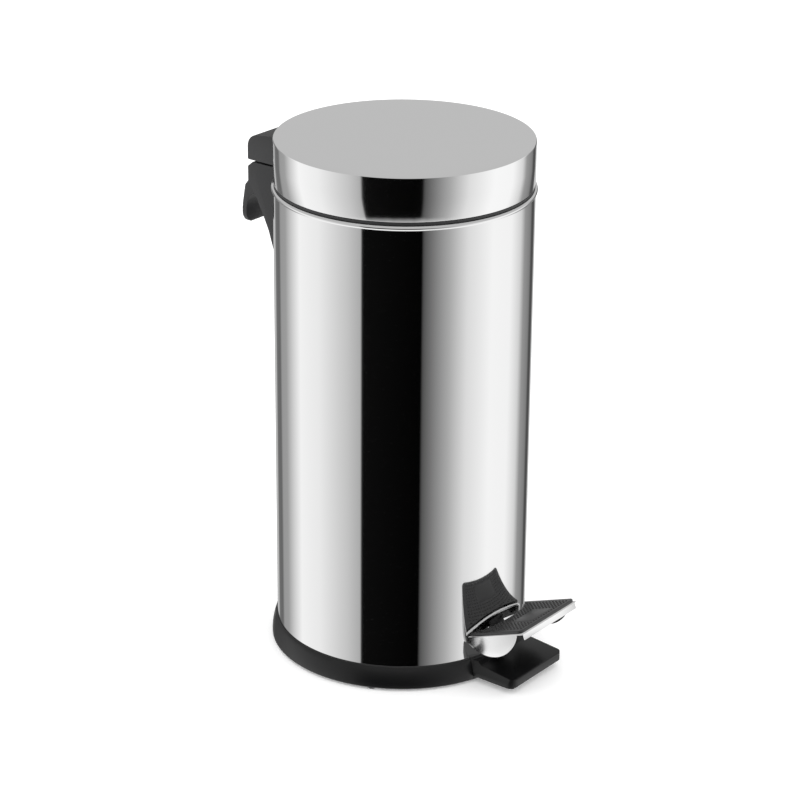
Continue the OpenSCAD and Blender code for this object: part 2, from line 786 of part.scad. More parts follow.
module lid_bumper_places(dz) {
    for (a = [50, 130, 230, 310]) {
        rotate([0, 0, a]) translate([(liner_lip_r + liner_r) / 2, 0, liner_bottom_z + dz])
            children();
    }
}

module lid_bumpers() {
    color("black") lid_bumper_places(0) {
        bar_z(-(liner_bottom_z - collar_top_z) + seat_gap, 0, 0, 0, 1.7);
        bar_z(-0.5, 1, 0, 0, 1);
    }
}

// Outside of the block that carries the lid as (Y, Z)
function block_outline() = concat(
    [[lid_r - 8, hinge_gap_top_z], [hinge_out_y - 1, hinge_gap_top_z],
     [hinge_out_y, hinge_gap_top_z + 1]],
    arc(hinge_out_y - 13, block_top_z - 12, 13, 0, 75, 6),
    [[hinge_out_y - 34, block_top_z + block_rise], [lid_r - 8, block_top_z + block_rise]]);

module lid_bracket() {
    half = hinge_w / 2;
    color("dimgray") difference() {
        union() {
            difference() {
                along_x(-half, half) polygon(block_outline());
                for (s = [-1, 1]) {
                    x0 = s > 0 ? crank_half_w : -half + hinge_wall;
                    along_x(x0, x0 + half - hinge_wall - crank_half_w) polygon([
                        [shell_r + 4, hinge_gap_top_z - 1],
                        [hinge_out_y - hinge_wall, hinge_gap_top_z - 1],
                        [hinge_out_y - hinge_wall, block_top_z - 11],
                        [hinge_out_y - 12, block_top_z - hinge_wall],
                        [hinge_out_y - 34, block_top_z - hinge_wall + block_rise],
                        [shell_r + 4, block_top_z - hinge_wall + block_rise]]);
                }
            }
            for (x = [-lid_boss_x, lid_boss_x]) {
                bar_y(lid_r - 5, lid_r + lid_boss_l, x, lid_boss_z, lid_boss_r);
            }
            bar_x(-crank_half_w, crank_half_w, hinge_y, hinge_z, lug_r);
            along_x(-crank_half_w, crank_half_w) polygon([
                [hinge_y - 4.6, hinge_z], [hinge_y + 4.6, hinge_z],
                [hinge_y + 4.6, hinge_gap_top_z + 1], [hinge_y - 4.6, hinge_gap_top_z + 1]]);
            bar_x(-crank_half_w, crank_half_w, crank_y, crank_z, crank_eye_r);
            translate([-crank_half_w, crank_y, crank_z]) rotate([crank_angle, 0, 0])
                translate([0, 0, -3.8]) cube([2 * crank_half_w, crank_arm, 7.6]);
        }
        bar_z(hinge_gap_top_z - 1, lid_top_z, 0, 0, lid_r);
        bar_z(hinge_gap_top_z - 1, lid_bottom_z - 1, 0, 0, bead_out_r + 1.2);
        bar_x(-half - 1, half + 1, hinge_y, hinge_z, hinge_pin_d / 2 + fit);
        bar_x(-half - 1, half + 1, crank_y, crank_z, rod_r + fit);
        for (x = [-lid_boss_x, lid_boss_x]) {
            bar_y(lid_r - 6, lid_r - 1.5 + lid_boss_l, x, lid_boss_z, 1.7);
        }
    }
}

module lid_bracket_screws() {
    seat = sqrt(pow(liner_in_r, 2) - pow(lid_boss_x + 3.5, 2));
    color("gray") for (x = [-lid_boss_x, lid_boss_x]) {
        translate([x, seat, lid_boss_z]) rotate([-90, 0, 0]) pan_screw(14, 1.7, 3.5, 2.2);
    }
}

module bucket() {
    color("dimgray") {
        rotate_extrude() polygon([
            [0, bucket_bottom_z + 2], [0, bucket_bottom_z + 2 + bucket_t],
            [bucket_bottom_r - bucket_t - 6, bucket_bottom_z + 2 + bucket_t],
            [bucket_bottom_r - bucket_t - 0.5, bucket_bottom_z + 5],
            [bucket_top_r - bucket_t, flange_top_z], [flange_r, flange_top_z],
            [flange_r, flange_bottom_z], [bucket_top_r, flange_bottom_z],
            [bucket_bottom_r, bucket_bottom_z + 4], [bucket_bottom_r - 4, bucket_bottom_z],
            [bucket_bottom_r - 8, bucket_bottom_z], [bucket_bottom_r - 10, bucket_bottom_z + 2]]);
        for (s = [-1, 1]) {
            x0 = s > 0 ? ear_x : -ear_x - ear_t;
            difference() {
                union() {
                    translate([x0, -ear_half_l, flange_bottom_z + 0.5])
                        cube([ear_t, 2 * ear_half_l, bail_z - flange_bottom_z - 0.5]);
                    bar_x(x0, x0 + ear_t, 0, bail_z, ear_half_l);
                }
                bar_x(x0 - 1, x0 + ear_t + 1, 0, bail_z, bail_r + fit);
            }
        }
    }
}

module bail_handle() {
    color("gray") {
        translate([0, 0, bail_z]) intersection() {
            rotate_extrude() translate([bail_ring_r, 0]) circle(r = bail_r);
            translate([-shell_r, -shell_r, -over]) cube([shell_d, shell_r, 2 * over]);
        }
        for (s = [-1, 1]) {
            translate([s * bail_ring_r, 0, bail_z]) sphere(r = bail_r * knuckle);
        }
        bar_x(bail_ring_r, ear_x + ear_t + 0.3, 0, bail_z, bail_r);
        bar_x(-ear_x - ear_t - 0.3, -bail_ring_r, 0, bail_z, bail_r);
    }
}

module bail_grip() {
    color("dimgray") translate([0, 0, bail_z])
        rotate([0, 0, 270 - grip_half_angle]) rotate_extrude(angle = 2 * grip_half_angle)
        translate([bail_ring_r, 0]) difference() {
            circle(r = grip_r);
            circle(r = bail_r);
        }
}

shell();
bottom_disc();
base_ring();
stabiliser_foot();
rubber_feet();
foot_screws();
top_collar();
bearing_left();
bearing_right();
bearing_rivets();
pedal_pivot_pin();
pivot_pin_clip();
rear_bracket();
hinge_pin();
bracket_screws();
pedal_lever();
pedal_cover();
tread_pad();
pedal_rivets();
push_rod();
rod_clips();
lid_cap();
lid_liner();
lid_bracket();
lid_bracket_screws();
lid_bumpers();
bucket();
bail_handle();
bail_grip();
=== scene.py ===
"""Looks of a round pedal bin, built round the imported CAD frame.

Lengths are in millimetres until a piece is finished.
"""
import math

import bpy
from mathutils import Matrix, Vector


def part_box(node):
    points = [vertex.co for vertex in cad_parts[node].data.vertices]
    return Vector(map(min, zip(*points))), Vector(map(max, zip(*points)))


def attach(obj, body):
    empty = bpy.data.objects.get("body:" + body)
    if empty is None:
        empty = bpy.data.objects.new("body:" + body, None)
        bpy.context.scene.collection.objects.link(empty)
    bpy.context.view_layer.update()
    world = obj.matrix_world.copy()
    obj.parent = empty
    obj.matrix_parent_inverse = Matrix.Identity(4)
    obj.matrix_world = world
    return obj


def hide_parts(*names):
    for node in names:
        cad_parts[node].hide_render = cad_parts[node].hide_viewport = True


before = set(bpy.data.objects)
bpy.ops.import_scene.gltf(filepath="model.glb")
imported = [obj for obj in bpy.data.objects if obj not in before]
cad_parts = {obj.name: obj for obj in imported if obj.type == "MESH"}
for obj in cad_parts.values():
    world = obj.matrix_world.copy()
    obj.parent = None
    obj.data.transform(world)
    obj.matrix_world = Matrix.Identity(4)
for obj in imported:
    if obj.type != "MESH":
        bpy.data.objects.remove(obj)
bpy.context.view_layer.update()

MM = 0.001
Z = Vector((0, 0, 1))


def box_mm(node):
    """A CAD node's lowest and highest corners in millimetres."""
    low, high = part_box(node)
    return low / MM, high / MM


# Sizes read from the frame
LID_LOW, LID_HIGH = box_mm("lid_cap")
LID_R = LID_HIGH.x
SHELL_R = LID_R + 0.3
SHELL_LOW, SHELL_HIGH = box_mm("shell")
RIM_Z = SHELL_HIGH.z
SHEET = 0.6
BEAD = 2.4
RING_TOP = box_mm("base_ring")[1].z
TREAD_SLOPE = math.radians(20.8)
PEDAL_HALF = box_mm("pedal_cover")[1].x
TREAD_IN = math.sqrt((SHELL_R + 1.4) ** 2 - PEDAL_HALF ** 2)
TREAD_Z = 49.6
TREAD_L = 68.5
TREAD_ARC_R = 72
TREAD_ARC_Y = math.sqrt(TREAD_ARC_R ** 2 - PEDAL_HALF ** 2) - TREAD_IN
COVER_T = 1.2


# ---------------------------------------------------------------- camera

def place_camera():
    """A long lens, looking down on the bin from the left of the pedal."""
    azimuth, pitch, roll = math.radians(-52), math.radians(22.69), math.radians(0.46)
    back = Vector((math.sin(azimuth), -math.cos(azimuth), 0))
    right = Vector((math.cos(azimuth), math.sin(azimuth), 0))
    forward = -back * math.cos(pitch) - Z * math.sin(pitch)
    up = right.cross(forward)
    side = right * math.cos(roll) + up * math.sin(roll)
    top = up * math.cos(roll) - right * math.sin(roll)
    lens = bpy.data.cameras.new("camera")
    lens.sensor_width = 36
    lens.lens = 121.23
    lens.shift_x = -0.0035
    lens.clip_end = 50
    camera = bpy.data.objects.new("camera", lens)
    bpy.context.scene.collection.objects.link(camera)
    camera.location = back * 2.4489 + Z * 1.2781
    camera.rotation_euler = Matrix((side, top, -forward)).transposed().to_euler()
    bpy.context.scene.camera = camera
    return back, right


# ---------------------------------------------------------------- materials

def hex_colour(code):
    """An sRGB hex colour, as linear red, green, blue and alpha."""
    values = [int(code[i:i + 2], 16) / 255 for i in (1, 3, 5)]
    linear = [v / 12.92 if v <= 0.04045 else ((v + 0.055) / 1.055) ** 2.4 for v in values]
    return (*linear, 1)


def add_node(tree, kind, links=(), **settings):
    """Adds a node, sets its properties or sockets by name, and links sockets to outputs."""
    node = tree.nodes.new(kind)
    for name, value in settings.items():
        if name.startswith("in_"):
            key = name[3:]
            node.inputs[int(key) if key.isdigit() else key.replace("_", " ")].default_value = value
        else:
            setattr(node, name, value)
    for key, output in links:
        tree.links.new(output, node.inputs[key])
    return node


def blank_material(name):
    """A material with one Principled shader, and its object coordinates."""
    material = bpy.data.materials.new(name)
    material.use_nodes = True
    tree = material.node_tree
    tree.nodes.clear()
    shader = add_node(tree, "ShaderNodeBsdfPrincipled")
    add_node(tree, "ShaderNodeOutputMaterial", [("Surface", shader.outputs["BSDF"])])
    place = add_node(tree, "ShaderNodeTexCoord").outputs["Object"]
    return material, tree, shader, place


def steel(name, colour, rough_low, rough_high, streak_mm, wave_um, stretch=(1, 1, 1)):
    """Metal sheet whose fine polishing marks vary the roughness and tilt the surface a little."""
    material, tree, shader, place = blank_material(name)
    shader.inputs["Metallic"].default_value = 1
    grain_place = add_node(tree, "ShaderNodeMapping", [("Vector", place)], in_Scale=stretch)
    grain = add_node(tree, "ShaderNodeTexNoise", [("Vector", grain_place.outputs["Vector"])],
                     in_Scale=1 / (streak_mm * MM), in_Detail=3.0, in_Roughness=0.6)
    cloud = add_node(tree, "ShaderNodeTexNoise", [("Vector", place)], in_Scale=9.0, in_Detail=2.0)
    rough = add_node(tree, "ShaderNodeMapRange", [("Value", grain.outputs["Fac"])],
                     in_3=rough_low, in_4=rough_high)
    tint = add_node(tree, "ShaderNodeMapRange", [("Value", cloud.outputs["Fac"])], in_3=0.97, in_4=1.0)
    mixed = add_node(tree, "ShaderNodeMix", [("Factor", tint.outputs["Result"])],
                     data_type="RGBA", in_6=hex_colour("#B9B9B9"), in_7=hex_colour(colour))
    bump = add_node(tree, "ShaderNodeBump", [("Height", grain.outputs["Fac"])],
                    in_Strength=1.0, in_Distance=wave_um * 1e-6)
    tree.links.new(rough.outputs["Result"], shader.inputs["Roughness"])
    tree.links.new(mixed.outputs["Result"], shader.inputs["Base Color"])
    tree.links.new(bump.outputs["Normal"], shader.inputs["Normal"])
    return material


def plastic(name, colour, worn, rough, grain_mm, grain_um, specular=0.5):
    """Moulded plastic or rubber with a fine spark-eroded grain and slightly uneven gloss."""
    material, tree, shader, place = blank_material(name)
    shader.inputs["IOR"].default_value = 1.49
    shader.inputs["Specular IOR Level"].default_value = specular
    grain = add_node(tree, "ShaderNodeTexNoise", [("Vector", place)],
                     in_Scale=1 / (grain_mm * MM), in_Detail=2.0)
    cloud = add_node(tree, "ShaderNodeTexNoise", [("Vector", place)], in_Scale=22.0, in_Detail=3.0)
    mixed = add_node(tree, "ShaderNodeMix", [("Factor", cloud.outputs["Fac"])],
                     data_type="RGBA", in_6=hex_colour(colour), in_7=hex_colour(worn))
    gloss = add_node(tree, "ShaderNodeMapRange", [("Value", cloud.outputs["Fac"])],
                     in_3=rough - 0.05, in_4=rough + 0.05)
    bump = add_node(tree, "ShaderNodeBump", [("Height", grain.outputs["Fac"])],
                    in_Strength=1.0, in_Distance=grain_um * 1e-6)
    tree.links.new(mixed.outputs["Result"], shader.inputs["Base Color"])
    tree.links.new(gloss.outputs["Result"], shader.inputs["Roughness"])
    tree.links.new(bump.outputs["Normal"], shader.inputs["Normal"])
    return material


# Mirror polished 430 stainless sheet: near-black and near-white reflections with crisp edges
MIRROR_STEEL = steel("mirror_polished_stainless", "#F4F4F4", 0.035, 0.06, 6, 0.25)
# Satin polished stainless sheet: reflections keep their place but lose their edges
SATIN_STEEL = steel("satin_polished_stainless", "#F8F8F8", 0.06, 0.09, 1.2, 0.6, (1, 1, 1))
# Satin chrome plate on pressed steel: whiter than the shell, with soft reflections
CHROME = steel("satin_chrome_plate", "#FAFAFA", 0.14, 0.20, 8, 0.2)
# Zinc plated steel fasteners and wire: dull grey with a slightly cloudy sheen
ZINC = steel("zinc_plated_steel", "#B4B6B8", 0.25, 0.38, 1.5, 2)
# Drawn stainless or zinc plated wire rod, cleaner than the screws
WIRE = steel("drawn_steel_wire", "#C6C7C8", 0.16, 0.26, 1.2, 1)
# Stoved black enamel on the pressed lever
ENAMEL = plastic("black_stoved_enamel", "#0C0C0D", "#101011", 0.35, 1.2, 4)
# Polypropylene with a fine moulded grain: charcoal with a soft wide highlight
BLACK_PP = plastic("black_polypropylene", "#29292A", "#2E2E2F", 0.48, 0.6, 12)
# The same plastic moulded glossier for the base ring and foot
BASE_PP = plastic("black_polypropylene_smooth", "#0A0A0B", "#0D0D0E", 0.32, 0.7, 4, 0.45)
# Bucket moulding, dark grey polypropylene
BUCKET_PP = plastic("bucket_polypropylene", "#1E1F20", "#232425", 0.42, 0.8, 8)
# Handle grip moulding
GRIP_PP = plastic("grip_polypropylene", "#1A1A1B", "#202021", 0.5, 0.5, 12)
# Moulded rubber: almost black, low sheen, faint bloom
RUBBER = plastic("moulded_black_rubber", "#19191A", "#202021", 0.34, 0.6, 10, 0.8)


# ---------------------------------------------------------------- modelling helpers

def deselect():
    if bpy.context.object and bpy.context.object.mode != "OBJECT":
        bpy.ops.object.mode_set(mode="OBJECT")
    bpy.ops.object.select_all(action="DESELECT")


def only(piece):
    """Makes the piece the one selected and active object."""
    deselect()
    piece.hide_set(False)
    piece.select_set(True)
    bpy.context.view_layer.objects.active = piece


def edit(piece, select="SELECT"):
    only(piece)
    bpy.ops.object.mode_set(mode="EDIT")
    bpy.ops.mesh.select_all(action=select)


def object_mode():
    bpy.ops.object.mode_set(mode="OBJECT")


def apply(piece, kind, **settings):
    """Adds a modifier with its settings and applies it."""
    only(piece)
    modifier = piece.modifiers.new(kind.lower(), kind)
    for name, value in settings.items():
        setattr(modifier, name, value)
    bpy.ops.object.modifier_apply(modifier=modifier.name)


def clean(piece, gap=1e-4):
    """Merges doubles and turns the faces outwards."""
    edit(piece)
    bpy.ops.mesh.remove_doubles(threshold=gap)
    bpy.ops.mesh.delete_loose()
    bpy.ops.mesh.select_all(action="SELECT")
    bpy.ops.mesh.normals_make_consistent(inside=False)
    object_mode()


def cut(piece, tool, how="DIFFERENCE"):
    """Cuts the piece with the tool, which is then gone."""
    apply(piece, "BOOLEAN", operation=how, solver="EXACT", object=tool)
    bpy.data.objects.remove(tool)


def join(piece, *others):
    only(piece)
    for other in others:
        other.select_set(True)
    bpy.ops.object.join()
    return piece


def block(low, high):
    """A cutting or starting block between two corners."""
    deselect()
    middle = [(a + b) / 2 for a, b in zip(low, high)]
    bpy.ops.mesh.primitive_cube_add(size=1, location=middle)
    bpy.ops.transform.resize(value=[b - a for a, b in zip(low, high)])
    bpy.ops.object.transform_apply(location=True, rotation=True, scale=True)
    return bpy.context.object


def rod(start, end, radius, sides=48):
    """A round bar between two points."""
    deselect()
    start, end = Vector(start), Vector(end)
    along = end - start
    bpy.ops.mesh.primitive_cylinder_add(vertices=sides, radius=radius, depth=along.length,
                                        location=(start + end) / 2,
                                        rotation=along.to_track_quat("Z", "Y").to_euler())
    bpy.ops.object.transform_apply(location=True, rotation=True, scale=True)
    return bpy.context.object


def outline(name, points):
    """A line of joined points, drawn by extruding one point after the other."""
    deselect()
    bpy.ops.mesh.primitive_plane_add(size=1)
    piece = bpy.context.object
    piece.name = name
    bpy.ops.object.mode_set(mode="EDIT")
    bpy.ops.mesh.select_mode(type="VERT")
    bpy.ops.mesh.select_all(action="SELECT")
    bpy.ops.mesh.merge(type="CENTER")
    bpy.ops.transform.translate(value=points[0])
    for a, b in zip(points, points[1:]):
        step = [q - p for p, q in zip(a, b)]
        bpy.ops.mesh.extrude_region_move(TRANSFORM_OT_translate={"value": step})
    return piece


def turned(name, profile, steps=192, closed=True):
    """Spins a section of (radius, height) points round the bin's axis."""
    points = [(r, 0, z) for r, z in profile]
    if closed:
        points.append(points[0])
    piece = outline(name, points)
    bpy.ops.mesh.select_all(action="SELECT")
    bpy.ops.mesh.remove_doubles(threshold=1e-4)
    bpy.ops.mesh.select_all(action="SELECT")
    bpy.ops.mesh.spin(steps=steps, angle=2 * math.pi, center=(0, 0, 0), axis=(0, 0, 1))
    object_mode()
    clean(piece)
    return piece


def prism(name, points, depth):
    """A flat outline, filled and extruded by the depth vector."""
    piece = outline(name, [*points, points[0]])
    bpy.ops.mesh.select_all(action="SELECT")
    bpy.ops.mesh.remove_doubles(threshold=1e-4)
    bpy.ops.mesh.select_all(action="SELECT")
    bpy.ops.mesh.edge_face_add()
    bpy.ops.mesh.extrude_region_move(TRANSFORM_OT_translate={"value": depth})
    object_mode()
    clean(piece)
    return piece


def arc(cx, cy, r, start, end, steps):
    """Points of an arc, with its angles in degrees."""
    turn = [math.radians(start + (end - start) * i / steps) for i in range(steps + 1)]
    return [(cx + r * math.cos(a), cy + r * math.sin(a)) for a in turn]


def soften(piece, width, segments=3, angle=30):
    """Rounds the edges that are sharper than the angle."""
    apply(piece, "BEVEL", width=width, segments=segments, limit_method="ANGLE",
          angle_limit=math.radians(angle), harden_normals=False, miter_outer="MITER_ARC")


def finish_piece(piece, node, body, material, smooth=35, scale=MM):
    """Brings a piece to metres, gives it its finish and says what it stands for."""
    if scale != 1:
        edit(piece)
        bpy.ops.transform.resize(value=(scale, scale, scale), center_override=(0, 0, 0))
        object_mode()
    only(piece)
    bpy.ops.object.shade_smooth_by_angle(angle=math.radians(smooth))
    piece.data.materials.clear()
    piece.data.materials.append(material)
    piece.name = node + "_look"
    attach(piece, body)
    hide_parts(node)
    return piece


def from_cad(node, body, slot, material, width=0.0, segments=2, smooth=30, dissolve=1.0):
    """A copy of a CAD node with merged faces and softened edges."""
    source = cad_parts[node]
    piece = source.copy()
    piece.data = source.data.copy()
    bpy.context.scene.collection.objects.link(piece)
    piece.parent = None
    for key in list(piece.keys()):
        if key.startswith("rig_"):
            del piece[key]
    edit(piece)
    bpy.ops.mesh.remove_doubles(threshold=2e-6)
    bpy.ops.mesh.select_all(action="SELECT")
    bpy.ops.mesh.dissolve_limited(angle_limit=math.radians(dissolve))
    object_mode()
    if width:
        soften(piece, width * MM, segments)
    return finish_piece(piece, node, body, material, smooth, 1)


# ---------------------------------------------------------------- shell and lid

def make_shell():
    """Rolled sheet with a beaded mouth, a slot for the pedal's tongue and a window for the rod."""
    slot_z, window_z = (RING_TOP + 1.5, 47), (395.8, 437.7)
    centre_r, centre_z = SHELL_R + 1.75 - BEAD, RIM_Z - BEAD
    low = SHELL_LOW.z
    heights = [low, slot_z[0], slot_z[1], 150, 270, window_z[0], window_z[1]]
    inner = SHELL_R - SHEET
    profile = [(SHELL_R, z) for z in heights]
    leave = -math.degrees(math.acos((SHELL_R - centre_r) / BEAD))
    close = 270 + math.degrees(math.asin((inner - centre_r) / BEAD))
    profile += arc(centre_r, centre_z, BEAD, leave, close, 24)
    profile += [(inner, z) for z in reversed(heights)]
    steps = 256
    piece = turned("shell_sheet", profile, steps)
    edit(piece, "DESELECT")
    bpy.ops.mesh.select_mode(type="FACE")
    object_mode()
    step = 2 * math.pi / steps

    def between(face, span, limits):
        """Whether a wall face lies in that height and angle."""
        z = face.center.z
        turn = math.atan2(face.center.x, abs(face.center.y))
        flat = abs(face.normal.z) < 0.5
        return flat and span[0] < z < span[1] and limits[0] < turn / step < limits[1]

    for face in piece.data.polygons:
        front = face.center.y < 0 and between(face, slot_z, (-4.6, 4.6))
        rear = face.center.y > 0 and between(face, window_z, (2.4, 5.6))
        face.select = front or rear
    bpy.ops.object.mode_set(mode="EDIT")
    bpy.ops.mesh.delete(type="FACE")
    bpy.ops.mesh.select_mode(type="EDGE")
    for front in (True, False):
        bpy.ops.mesh.select_all(action="DESELECT")
        bpy.ops.mesh.select_non_manifold()
        object_mode()
        points = piece.data.vertices
        for edge in piece.data.edges:
            y = points[edge.vertices[0]].co.y
            edge.select = edge.select and (y < 0) == front
        bpy.ops.object.mode_set(mode="EDIT")
        bpy.ops.mesh.bridge_edge_loops()
    object_mode()
    clean(piece)
    return finish_piece(piece, "shell", "bin", MIRROR_STEEL, 40)


def make_lid():
    """Deep-drawn lid cap with a rounded top edge and a rolled-in lower edge."""
    low, top, r, t, edge = LID_LOW.z, LID_HIGH.z, LID_R, 0.7, 2.2
    profile = [(r - 0.35, low), (r - 0.1, low + 0.1), (r, low + 0.35), (r, (low + top) / 2)]
    profile += arc(r - edge, top - edge, edge, 0, 90, 9)
    profile += [(r - 12, top), (r - 60, top), (0, top), (0, top - t), (r - 60, top - t)]
    profile += arc(r - edge, top - edge, edge - t, 90, 0, 5)
    profile += [(r - t, low + 0.3), (r - 0.5, low)]
    piece = turned("lid_sheet", profile, 256)
    for x in (-15, 15):
        cut(piece, rod((x, r - 20, low + 10), (x, r + 20, low + 10), 2, 24))
    return finish_piece(piece, "lid_cap", "lid", SATIN_STEEL, 40)


# ---------------------------------------------------------------- pedal

def to_tread(piece):
    """Turns a piece drawn on a level tread to the tread's slope and place."""
    edit(piece)
    bpy.ops.transform.translate(value=(0, -TREAD_IN, TREAD_Z))
    object_mode()
    for vertex in piece.data.vertices:
        y, z = vertex.co.y + TREAD_IN, vertex.co.z - TREAD_Z
        c, s = math.cos(-TREAD_SLOPE), math.sin(-TREAD_SLOPE)
        vertex.co.y = -TREAD_IN + y * c - z * s
        vertex.co.z = TREAD_Z + y * s + z * c


def inner_arc(piece, more):
    """Cuts the hollow edge next to the shell, leaving more off its arc."""
    cut(piece, rod((0, TREAD_ARC_Y, 0), (0, TREAD_ARC_Y, 200), TREAD_ARC_R + more, 256))


def make_cover():
    """Pressed and chromed cover folded from one sheet: tread plate, round cheeks and front lip."""
    half, fold = PEDAL_HALF, 1.6
    cheek_depth, half_chord, middle = 22.7, TREAD_L * 0.494, -TREAD_L * 0.41
    radius = (half_chord ** 2 + cheek_depth ** 2) / (2 * cheek_depth)
    centre_z = radius - cheek_depth
    lip_h, lip_gap, deep = 7.4, 2.4, 40
    under_fold = -fold - 0.2
    plate = block((-half, -TREAD_L, -30), (half, 20, 0))
    plate.name = "cover"
    edit(plate, "DESELECT")
    bpy.ops.mesh.select_mode(type="EDGE")
    object_mode()
    points = plate.data.vertices
    for e in plate.data.edges:
        a, b = (points[i].co for i in e.vertices)
        top = a.z > -1 and b.z > -1
        side = top and abs(a.x - b.x) < 0.1
        front = top and max(a.y, b.y) < 1 - TREAD_L
        e.select = side or front
    bpy.ops.object.mode_set(mode="EDIT")
    bpy.ops.mesh.bevel(offset=fold, segments=5, affect="EDGES")
    object_mode()
    hollow = plate.copy()
    hollow.data = plate.data.copy()
    bpy.context.scene.collection.objects.link(hollow)
    edit(hollow)
    bpy.ops.transform.resize(value=(1 - COVER_T / half, 1, 1), center_override=(0, 0, 0))
    bpy.ops.transform.translate(value=(0, COVER_T, -COVER_T))
    object_mode()
    cut(plate, hollow)
    # the cheeks are round, the lip is short
    mask = rod((-half - 5, middle, centre_z), (half + 5, middle, centre_z), radius, 128)
    lip = block((-half + lip_gap, -TREAD_L - 1, -lip_h),
                (half - lip_gap, -TREAD_L + COVER_T + 0.2, 2))
    top = block((-half - 1, -TREAD_L - 1, under_fold), (half + 1, 30, 5))
    cut(lip, top, "UNION")
    gap = block((-half + 4, -TREAD_L - 2, -deep), (half - 4, -TREAD_L + 4, -lip_h))
    cut(mask, gap)
    front_gap = block((-half - 6, -TREAD_L - 3, -deep),
                      (half + 6, -TREAD_L + COVER_T + 0.9, under_fold))
    cut(mask, front_gap)
    cut(mask, lip, "UNION")
    cut(plate, mask, "INTERSECT")
    to_tread(plate)
    inner_arc(plate, 0)
    clean(plate, 1e-3)
    soften(plate, 0.25, 2, 40)
    return finish_piece(plate, "pedal_cover", "pedal", CHROME, 35)


def make_pad():
    """Moulded rubber pad with a rim, a smooth centre panel and fields of small pips."""
    half, t = PEDAL_HALF - 0.4, 3
    front = -TREAD_L + 0.6
    corner = 5
    points = [(-half, 20)]
    points += arc(-half + corner, front + corner, corner, 180, 270, 6)
    points += arc(half - corner, front + corner, corner, 270, 360, 6)
    points += [(half, 20)]
    base = prism("pad", [(x, y, 0) for x, y in points], (0, 0, t - 0.4))
    to_tread(base)
    inner_arc(base, 2)
    clean(base, 1e-3)
    soften(base, 0.7, 3, 35)
    pitch = 4.2
    rows = [-TREAD_L + 5.5 + pitch * i for i in range(14)]
    columns = [pitch * (i - 9) for i in range(19)]
    dots = []
    deselect()
    bpy.ops.mesh.primitive_uv_sphere_add(segments=10, ring_count=6, radius=1.25)
    dome = bpy.context.object
    bpy.ops.transform.resize(value=(1, 1, 0.9))
    bpy.ops.object.transform_apply(location=True, rotation=True, scale=True)
    edit(dome)
    bpy.ops.mesh.bisect(plane_co=(0, 0, 0.2), plane_no=(0, 0, 1), clear_inner=True, use_fill=True)
    object_mode()
    for j, y in enumerate(rows):
        for i, x in enumerate(columns):
            end = i < 5 or i > 13
            if not end and 0 < j < 7:
                continue
            if math.hypot(x, y * math.cos(TREAD_SLOPE) - TREAD_IN - TREAD_ARC_Y) < TREAD_ARC_R + 4.5:
                continue
            dot = dome.copy()
            dot.data = dome.data.copy()
            bpy.context.scene.collection.objects.link(dot)
            dot.location = (x, y, t - 0.4 - 0.25)
            dots.append(dot)
    only(dots[0])
    for dot in dots:
        dot.select_set(True)
    bpy.ops.object.transform_apply(location=True, rotation=False, scale=False)
    pips = join(dots[0], *dots[1:])
    bpy.data.objects.remove(dome)
    panel = block((-17.5, -TREAD_L + 8.5, 1), (17.5, -TREAD_L + 32, t - 0.1))
    soften(panel, 0.6, 3, 40)
    join(pips, panel)
    to_tread(pips)
    piece = join(base, pips)
    return finish_piece(piece, "tread_pad", "pedal", RUBBER, 40)


# ---------------------------------------------------------------- studio

def make_floor():
    """A wide pale floor that polished metal doesn't mirror."""
    deselect()
    bpy.ops.mesh.primitive_grid_add(x_subdivisions=4, y_subdivisions=4, size=14)
    floor = bpy.context.object
    floor.name = "floor"
    floor.visible_glossy = False
    material, tree, shader, place = blank_material("pale_floor")
    tone = add_node(tree, "ShaderNodeTexNoise", [("Vector", place)], in_Scale=2.0)
    mixed = add_node(tree, "ShaderNodeMix", [("Factor", tone.outputs["Fac"])],
                     data_type="RGBA", in_6=hex_colour("#F6F6F6"), in_7=hex_colour("#FAFAFA"))
    tree.links.new(mixed.outputs["Result"], shader.inputs["Base Color"])
    shader.inputs["Roughness"].default_value = 0.9
    shader.inputs["Specular IOR Level"].default_value = 0.1
    shader.inputs["Emission Color"].default_value = (1, 1, 1, 1)
    shader.inputs["Emission Strength"].default_value = 0.2
    floor.data.materials.append(material)


# What the polished metal mirrors, as (degrees to the camera's right, brightness)
STUDIO = [(-180, 0.42), (-160, 0.55), (-154, 0.16), (-143, 0.14), (-139, 0.33), (-128, 0.36),
          (-118, 0.62), (-104, 0.98), (-80, 0.90), (-50, 0.60), (-37.5, 0.44), (-36.5, 0.004),
          (15.5, 0.001), (17.5, 0.09), (25, 0.19), (40, 0.42), (58, 0.78), (84, 1.0), (108, 0.98),
          (124, 0.70), (132, 0.32), (146, 0.22), (151, 0.07), (159, 0.09), (164, 0.6), (180, 0.8)]

# What polished metal mirrors from above: an even grey
CEILING = 0.53


